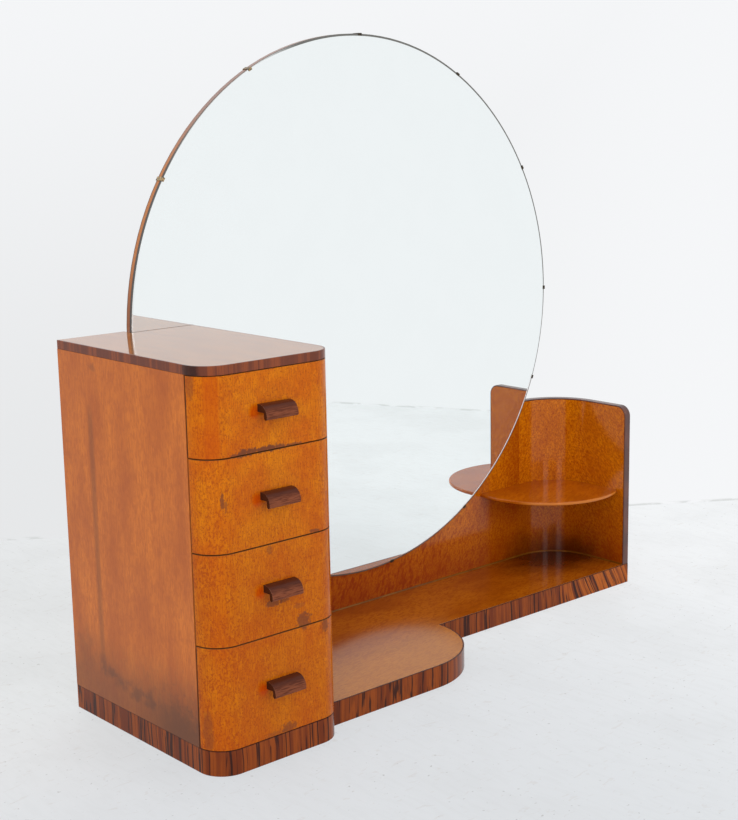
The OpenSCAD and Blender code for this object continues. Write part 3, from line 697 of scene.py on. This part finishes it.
def pull_wood():
    """Brown wood with darker grain; painted shade darkens its top and ends; arrises rubbed
    paler by hands, partly painted highlight.
    """
    wood = Finish("pull_wood", roughness=0.24, specular=0.14)
    fibre = wood.noise((0.020, 0.0016, 0.0016), detail=2)
    cloud = wood.noise((0.03, 0.012, 0.012), detail=2)
    rub = wood.noise((0.006, 0.003, 0.003), detail=2)
    colour = wood.stain(PULL_BROWN, wood.step(fibre, 0.42, 0.64), 0.7, PULL_DARK_AND_SHADE)
    colour = wood.stain(colour, wood.step(cloud, 0.5, 0.7), 0.4, PULL_DARK_AND_SHADE)
    # Painted shade on the top and the ends
    colour = wood.stain(colour, wood.step(wood.facing("Z"), 0.30, 0.85), 0.9, PULL_DARK_AND_SHADE)
    end = wood.step(wood.math("ABSOLUTE", wood.facing("X")), 0.5, 0.9)
    colour = wood.stain(colour, end, 0.85, PULL_END_SHADE)
    # Paler arrises: wear by hands and a painted highlight
    worn = wood.all_of(wood.worn(), wood.step(rub, 0.36, 0.56))
    colour = wood.stain(colour, worn, 0.8, PULL_WEAR_AND_HIGHLIGHT)
    wood.bump(fibre, 0.10)
    return wood.paint(colour)


def mirror_silver():
    """Silvered glass: thin dark line along the edge; a painted reflection makes the bevel pale
    near the wing.
    """
    glass = Finish("mirror_silver", roughness=0.0)
    half = (glass_high.x - glass_low.x) / 2
    middle = ((glass_low.x + glass_high.x) / 2, glass_low.y, glass_high.z - half)
    from_middle = glass.distance(middle, (half, 1.0, half))
    flat = glass.step(glass.math("ABSOLUTE", glass.facing("Y")), 0.3, 0.6)
    haze = glass.noise((0.10, 0.10, 0.10), detail=2)
    colour = glass.stain(MIRROR_TINT, glass.step(haze, 0.4, 0.6), 0.3, MIRROR_HAZE)
    right = glass.step(glass.along("X"), middle[0] - half / 2, middle[0] - half / 4)
    high = glass.along("Z")
    # Painted reflection: the bevel is pale near the wing
    reflection_by_wing = glass.all_of(right, glass.between(high, *BEVEL_REFLECTION_HEIGHTS, BEVEL_REFLECTION_SOFT))
    bevel = glass.step(from_middle, 1 - BEVEL_IN / half, 1 - (BEVEL_IN - SOFT) / half)
    bevel = glass.all_of(bevel, reflection_by_wing)
    colour = glass.mix(bevel, colour, BEVEL_PAINTED_REFLECTION)
    left = glass.outside(right)
    faded = glass.all_of(left, glass.step(high, *RIM_FADE))
    upper_right = glass.all_of(right, glass.step(high, *LINE_WIDER))
    reach = glass.math("SUBTRACT", from_middle, glass.part(left, LINE_LESS / half))
    reach = glass.math("ADD", reach, glass.part(upper_right, LINE_MORE / half))
    line = glass.step(reach, 1 - LINE_IN / half, 1 - (LINE_IN - 1.5 * SOFT) / half)
    strength = glass.math("SUBTRACT", 0.95, glass.part(faded, 0.75))
    line = glass.all_of(line, strength)
    colour = glass.mix(line, colour, glass.mix(right, GLASS_LINE_BROWN, GLASS_LINE))
    edge = glass.mix(faded, GLASS_EDGE, GLASS_EDGE_PALE)
    colour = glass.mix(flat, edge, colour)
    matt = glass.math("MAXIMUM", bevel, line)
    shine = glass.part(glass.outside(matt), MIRROR_METAL)
    glass.feed(glass.shader.inputs["Metallic"], shine)
    dull = glass.math("MAXIMUM", glass.part(matt, 0.35), glass.step(flat, 1.0, 0.0))
    glass.feed(glass.shader.inputs["Roughness"], dull)
    return glass.paint(colour)


def screw_steel():
    """Dull steel with brown tarnish."""
    metal = Finish("screw_steel", roughness=0.40, metallic=1.0)
    tarnish = metal.noise((0.004, 0.004, 0.004), detail=3)
    metal.bump(tarnish, 0.1)
    return metal.paint(metal.mix(metal.step(tarnish, 0.4, 0.6), STEEL_DARK, STEEL_LIGHT))


def clip_metal():
    """Brassy, mottled with dark tarnish, and nearly black towards the right."""
    metal = Finish("clip_metal", roughness=0.35, metallic=0.8)
    tarnish = metal.noise((0.003, 0.003, 0.003), detail=3)
    colour = metal.mix(metal.step(tarnish, 0.4, 0.6), STEEL_DARK, CLIP_BRASS)
    right = metal.step(metal.along("X"), from_left(300), from_left(600))
    colour = metal.stain(colour, right, 0.9, CLIP_BLACK)
    metal.bump(tarnish, 0.1)
    return metal.paint(colour)


DRAWER_VENEER = drawer_veneer()
SIDE_VENEER = side_veneer()
WALL_VENEER = wall_veneer()
TOP_VENEER = top_veneer()
PLATFORM_VENEER = platform_veneer()
SHELF_VENEER = shelf_veneer()
ROSEWOOD = rosewood()
EDGING_WOOD = edging_wood()
WING_EDGING_WOOD = wing_edging_wood()
BOARD_RIM = board_rim()
BEAD_WOOD = bead_wood()
PULL_WOOD = pull_wood()
MIRROR_SILVER = mirror_silver()
CLIP_METAL = clip_metal()
SCREW_STEEL = screw_steel()
CORE_UPRIGHT = bare_wood("core_upright", BARE_LIGHT, BARE_DARK, (0.0016, 0.0016, 0.03))
CORE_ALONG = bare_wood("core_along", BARE_LIGHT, BARE_DARK, (0.03, 0.0016, 0.0016))
CORE_DEEP = bare_wood("core_deep", BARE_LIGHT, BARE_DARK, (0.0016, 0.03, 0.0016))
PLYWOOD = bare_wood("plywood", PLY_LIGHT, PLY_DARK, (0.03, 0.0013, 0.0013))
BACK_WOOD = bare_wood("back_wood", PLY_LIGHT, BARE_DARK, (0.05, 0.0030, 0.0022))


# Pieces: clean copies of the carried-over solids with worn, rounded arrises

SHARP = math.radians(30)
SMOOTH = math.radians(50)
FLAT = math.radians(0.3)
JOIN = 2e-6


def on_pedestal_rim(point):
    """True on the pedestal's outer surface: straight sides and round front corners."""
    aside = max(abs(point.x - pedestal_mid_x) - (pedestal_half - corner_r), 0)
    ahead = max(corner_r - (point.y - pedestal_low.y), 0)
    return math.hypot(aside, ahead) > corner_r - SKIN


def anywhere(point):
    return True


def in_scene(name, bm):
    """The bmesh as an object of the scene."""
    mesh = bpy.data.meshes.new(name)
    bm.to_mesh(mesh)
    bm.free()
    thing = bpy.data.objects.new(name, mesh)
    bpy.context.scene.collection.objects.link(thing)
    return thing


def clean_copy(node):
    """The node's solid with its corners joined and its flat faces whole."""
    bm = bmesh.new()
    bm.from_mesh(frame["nodes"][node].data)
    bmesh.ops.remove_doubles(bm, verts=bm.verts, dist=JOIN)
    bmesh.ops.dissolve_limit(bm, angle_limit=FLAT, verts=bm.verts, edges=bm.edges)
    return bm


def wear_arrises(bm, width, wanted):
    """Rounds the wanted sharp edges and marks the new faces as worn."""
    arris = bm.loops.layers.float.new("arris")
    sharp = [e for e in bm.edges
             if len(e.link_faces) == 2 and e.is_convex and e.calc_face_angle(0) > SHARP
             and wanted((e.verts[0].co + e.verts[1].co) / 2)]
    made = bmesh.ops.bevel(bm, geom=sharp, offset=width, offset_type="OFFSET", segments=2,
                           profile=0.5, affect="EDGES", material=-1, clamp_overlap=True)
    for face in made["faces"]:
        for loop in face.loops:
            loop[arris] = 1.0


def dress(node, finishes, width=0.8 * MM, wanted=anywhere, choose=None):
    """Puts a worn copy in the node's place. choose(face) picks a finish by its number."""
    bm = clean_copy(node)
    wear_arrises(bm, width, wanted)
    if choose:
        for face in bm.faces:
            face.material_index = choose(face)
    piece = in_scene(node + "_worn", bm)
    for finish in finishes:
        piece.data.materials.append(finish)
    piece.data.shade_smooth()
    piece.data.set_sharp_from_angle(angle=SMOOTH)
    normals = piece.modifiers.new("even_normals", "WEIGHTED_NORMAL")
    normals.keep_sharp = True
    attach(piece, frame["nodes"][node]["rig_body"])
    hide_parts(node)


def coat(node, slot, finish):
    """A carried-over node keeps its mesh and gets a finish."""
    thing = frame["nodes"][node]
    thing.data.materials.clear()
    thing.data.materials.append(finish)


def outside_first(face):
    """Veneered outside and on the upper and lower edges, bare inside."""
    polished = on_pedestal_rim(face.calc_center_median()) or abs(face.normal.z) > 0.5
    return 0 if polished else 1


def upper_first(face):
    return 0 if face.normal.z > 0.5 else 1


def wall_faces(face):
    """Veneered front, brown rim, plain back."""
    if face.normal.y < -0.5:
        return 0
    return 2 if face.normal.y > 0.5 else 1


def drawer_pieces():
    for i in DRAWERS:
        name = f"drawer_{i}_"
        dress(name + "front", [DRAWER_VENEER, CORE_ALONG],
              width=1.0 * MM, wanted=on_pedestal_rim, choose=outside_first)
        dress(name + "pull", [PULL_WOOD], width=1.3 * MM)
        for part, finish in (("left_side", CORE_DEEP), ("right_side", CORE_DEEP),
                             ("back", CORE_ALONG)):
            coat(name + part, "drawer_wood", finish)
        coat(name + "bottom", "plywood", PLYWOOD)
        coat(name + "pull_screws", "clip_steel", SCREW_STEEL)


def pedestal_pieces():
    dress("pedestal_top", [TOP_VENEER, CORE_DEEP], width=0.2 * MM,
          choose=upper_first)
    dress("top_edging", [EDGING_WOOD], width=1.0 * MM, wanted=on_pedestal_rim)
    dress("left_side_panel", [SIDE_VENEER], width=0.8 * MM)
    dress("right_side_panel", [SIDE_VENEER], width=0.8 * MM)
    dress("plinth_facing", [ROSEWOOD], width=0.8 * MM, wanted=on_pedestal_rim)
    coat("pedestal_bottom", "carcase_wood", CORE_DEEP)
    for i in DRAWERS:
        coat(f"front_rail_{i}", "carcase_wood", CORE_ALONG)
    for i in DRAWERS[:-1]:
        coat(f"runners_{i}", "carcase_wood", CORE_DEEP)
    coat("plinth_front", "carcase_wood", CORE_ALONG)
    coat("plinth_left", "carcase_wood", CORE_DEEP)
    coat("plinth_right", "carcase_wood", CORE_DEEP)


def back_pieces():
    dress("back_board", [WALL_VENEER, BOARD_RIM, BACK_WOOD], width=0.5 * MM,
          choose=wall_faces)
    coat("mirror_glass", "mirror_glass", MIRROR_SILVER)
    dress("mirror_clips", [CLIP_METAL], width=0.25 * MM)
    coat("back_screws", "clip_steel", SCREW_STEEL)


def platform_pieces():
    dress("platform_board", [PLATFORM_VENEER, CORE_ALONG], width=0.2 * MM,
          choose=upper_first)
    dress("platform_facing", [ROSEWOOD], width=0.6 * MM)
    for node in ("front_bearer", "back_bearer", "projection_bearer"):
        coat(node, "carcase_wood", CORE_ALONG)
    for node in ("end_bearer", "cross_bearers"):
        coat(node, "carcase_wood", CORE_DEEP)
    coat("wing_batten", "carcase_wood", CORE_UPRIGHT)


def wing_pieces():
    dress("wing_panel", [WALL_VENEER], width=0.2 * MM)
    dress("wing_edging", [WING_EDGING_WOOD], width=1.2 * MM)
    dress("shelf", [SHELF_VENEER], width=0.3 * MM)
    dress("corner_bead", [BEAD_WOOD], width=0.3 * MM)


# Backdrop, light and camera

BACKDROP_BEHIND = (at(435, 1583, 0), at(2131, 465, 0))
BACKDROP_RIGHT = (at(2552, -996, 0), at(2263, -1550, 0))
BACKDROP_REACH = 6.0
BACKDROP_HEIGHT = 4.0
BACKDROP_RISE = 1.6
BACKDROP_FADE = (0.0, 1.4)
BACKDROP_PALE = (0.915, 0.925, 0.940)
# The dimmer backdrop colour is painted shade
BACKDROP_SHADED = (0.795, 0.805, 0.815)
FOOT_LINE = (0.640, 0.660, 0.650)
FOOT_LINE_TOP = 9 * MM
FOOT_LINE_SOLID = 3 * MM
FLOOR_HALF = 8.0
# Floor colours: the front one is painted shade, the right one painted light
FLOOR_LEFT = (0.800, 0.817, 0.825)
FLOOR_FRONT = (0.730, 0.752, 0.775)
FLOOR_RIGHT = (0.925, 0.942, 0.955)
FLOOR_GREY = (0.50, 0.50, 0.49)
FLOOR_SCUFF = (0.36, 0.20, 0.085)
FLOOR_SPECK = (0.16, 0.13, 0.10)
FLOOR_FADE = (-0.5, 1.2)
FLOOR_FRONT_EDGES = (-0.95, -0.30)
FLOOR_FRONT_SOFT = 0.6
FLOOR_GLOW = 0.75
FLOOR_DROP = 0.3 * MM
DAYLIGHT = (0.97, 0.985, 1.0)
DAYLIGHT_LEVEL = 0.58

# Lamps: name, place, target, width, height, watts, shown in gloss
LAMPS = [
    ("tall_lamp_near", at(-270, -3820, 1600), at(1270, 408, 250), 0.95, 1.7, 23, True),
    ("tall_lamp_far", at(-2420, -2160, 1600), at(1285, 396, 250), 1.05, 1.7, 23, True),
    ("lamp_right", at(1700, -2500, 1500), at(400, 200, 400), 1.3, 1.8, 10, False),
    ("lamp_left", at(-2300, 200, 1300), at(0, 250, 400), 1.4, 1.8, 12, False),
    ("lamp_behind", at(1500, 3300, 1500), at(600, 450, 500), 1.6, 1.8, 28, False),
    ("lamp_above", at(500, -500, 2900), at(500, 100, 0), 2.6, 2.6, 22, False),
]

# The photograph's viewing angle
CAMERA_PLACE = at(-1337.4, -1926.0, 1094.0)
CAMERA_YAW = math.radians(41.209)
CAMERA_PITCH = math.radians(-11.297)
CAMERA_ROLL = math.radians(-1.072)
CAMERA_LENS = 65.79
CAMERA_SENSOR = 36.0


def is_seen_directly(tree):
    """1 for camera, glossy and transmission rays."""
    path = tree.nodes.new("ShaderNodeLightPath")
    total = path.outputs["Is Camera Ray"]
    for name in ("Is Glossy Ray", "Is Transmission Ray"):
        add = tree.nodes.new("ShaderNodeMath")
        add.operation = "ADD"
        add.use_clamp = True
        tree.links.new(total, add.inputs[0])
        tree.links.new(path.outputs[name], add.inputs[1])
        total = add.outputs[0]
    return total


def glow_when_seen(paint, colour, share, otherwise):
    """Ends a finish with a share of its plain colour where it is seen directly."""
    glow = paint.add("ShaderNodeEmission")
    paint.feed(glow.inputs["Color"], colour)
    choice = paint.add("ShaderNodeMixShader")
    paint.feed(choice.inputs[0], paint.part(is_seen_directly(paint.tree), share))
    paint.feed(choice.inputs[1], otherwise)
    paint.feed(choice.inputs[2], glow.outputs[0])
    paint.feed(paint.tree.nodes["Material Output"].inputs["Surface"], choice.outputs[0])


def backdrop(name, ends):
    """A tall pale sheet through two floor points, seen from its front, lighting nothing."""
    start, end = ends
    way = (end - start).normalized() * BACKDROP_REACH
    left = start - way
    right = end + way
    up = Vector((0, 0, BACKDROP_HEIGHT))
    bm = bmesh.new()
    bm.faces.new([bm.verts.new(corner) for corner in (left, right, right + up, left + up)])
    wall = in_scene(name, bm)
    wall.visible_shadow = False
    wall.visible_diffuse = False
    paint = Finish(name, roughness=1.0)
    high = paint.along("Z")
    # Painted shade: dimmer low down on the left
    pale = paint.step(high, 0.0, BACKDROP_RISE)
    pale = paint.math("MAXIMUM", pale, paint.step(paint.along("X"), *BACKDROP_FADE))
    colour = paint.mix(pale, BACKDROP_SHADED, BACKDROP_PALE)
    foot = paint.step(high, FOOT_LINE_TOP, FOOT_LINE_SOLID)
    broken = paint.step(paint.noise((0.05, 0.05, 0.01), detail=3), 0.42, 0.58)
    colour = paint.stain(colour, paint.all_of(foot, broken), 0.7, FOOT_LINE)
    front = paint.outside(paint.add("ShaderNodeNewGeometry").outputs["Backfacing"])
    clear = paint.add("ShaderNodeBsdfTransparent")
    glow_when_seen(paint, colour, front, clear.outputs[0])
    wall.data.materials.append(paint.material)


def pale_floor():
    """Painted floor with faint scuffs and specks, which keeps the table's shadow."""
    bm = bmesh.new()
    bmesh.ops.create_grid(bm, x_segments=1, y_segments=1, size=FLOOR_HALF,
                          matrix=Matrix.Translation((0, 0, -FLOOR_DROP)))
    floor = in_scene("floor", bm)
    paint = Finish("floor_paint", roughness=0.7, specular=0.2)
    cloud = paint.noise((0.30, 0.30, 0.30), detail=4)
    scuff = paint.noise((0.030, 0.012, 0.02), detail=3, warp=1.0)
    brushed = paint.noise((0.012, 0.060, 0.02), detail=3, warp=0.4)
    speck = paint.noise((0.009, 0.009, 0.009), detail=2)
    # Painted shade in front and painted light towards the right
    front = paint.between(paint.along("Y"), *FLOOR_FRONT_EDGES, FLOOR_FRONT_SOFT)
    colour = paint.mix(front, FLOOR_LEFT, FLOOR_FRONT)
    colour = paint.mix(paint.step(paint.along("X"), *FLOOR_FADE), colour, FLOOR_RIGHT)
    colour = paint.stain(colour, paint.step(cloud, 0.45, 0.65), 0.08, FLOOR_GREY)
    colour = paint.stain(colour, paint.step(brushed, 0.45, 0.65), 0.05, FLOOR_GREY)
    colour = paint.stain(colour, paint.step(scuff, 0.62, 0.70), 0.08, FLOOR_SCUFF)
    colour = paint.stain(colour, paint.step(speck, 0.69, 0.74), 0.30, FLOOR_SPECK)
    paint.bump(scuff, 0.03)
    paint.paint(colour)
    glow_when_seen(paint, colour, FLOOR_GLOW, paint.shader.outputs[0])
    floor.data.materials.append(paint.material)


def daylight():
    """Even pale light from all round. Seen directly or in gloss it is the backdrop's white."""
    world = bpy.data.worlds.new("daylight")
    bpy.context.scene.world = world
    world.use_nodes = True
    tree = world.node_tree
    sky = tree.nodes["Background"]
    colour = tree.nodes.new("ShaderNodeMix")
    colour.data_type = "RGBA"
    seen = is_seen_directly(tree)
    tree.links.new(seen, colour.inputs[0])
    colour.inputs[6].default_value = [c * DAYLIGHT_LEVEL for c in DAYLIGHT] + [1.0]
    colour.inputs[7].default_value = (*BACKDROP_PALE, 1.0)
    tree.links.new(colour.outputs[2], sky.inputs["Color"])


def soft_light(name, place, target, width, height, watts, in_gloss):
    """A rectangular lamp turned to its target, which may show in glossy surfaces."""
    lamp = bpy.data.lights.new(name, "AREA")
    lamp.shape = "RECTANGLE"
    lamp.size = width
    lamp.size_y = height
    lamp.energy = watts
    thing = bpy.data.objects.new(name, lamp)
    bpy.context.scene.collection.objects.link(thing)
    thing.location = place
    thing.rotation_euler = (target - place).to_track_quat("-Z", "Y").to_euler()
    thing.visible_camera = False
    thing.visible_glossy = in_gloss


def camera():
    """The camera at the photograph's place and angle."""
    ahead = Vector((math.sin(CAMERA_YAW) * math.cos(CAMERA_PITCH),
                    math.cos(CAMERA_YAW) * math.cos(CAMERA_PITCH), math.sin(CAMERA_PITCH)))
    level = Vector((math.cos(CAMERA_YAW), -math.sin(CAMERA_YAW), 0))
    upright = level.cross(ahead)
    right = level * math.cos(CAMERA_ROLL) + upright * math.sin(CAMERA_ROLL)
    up = upright * math.cos(CAMERA_ROLL) - level * math.sin(CAMERA_ROLL)
    view = bpy.data.cameras.new("camera")
    view.lens = CAMERA_LENS
    view.sensor_width = CAMERA_SENSOR
    thing = bpy.data.objects.new("camera", view)
    bpy.context.scene.collection.objects.link(thing)
    turn = Matrix((right, up, -ahead)).transposed().to_4x4()
    thing.matrix_world = Matrix.Translation(CAMERA_PLACE) @ turn
    bpy.context.scene.camera = thing


drawer_pieces()
pedestal_pieces()
back_pieces()
platform_pieces()
wing_pieces()

pale_floor()
backdrop("back_wall", BACKDROP_BEHIND)
backdrop("side_wall", BACKDROP_RIGHT)
daylight()
for lamp_row in LAMPS:
    soft_light(*lamp_row)
camera()

bpy.context.scene.view_settings.view_transform = "Standard"
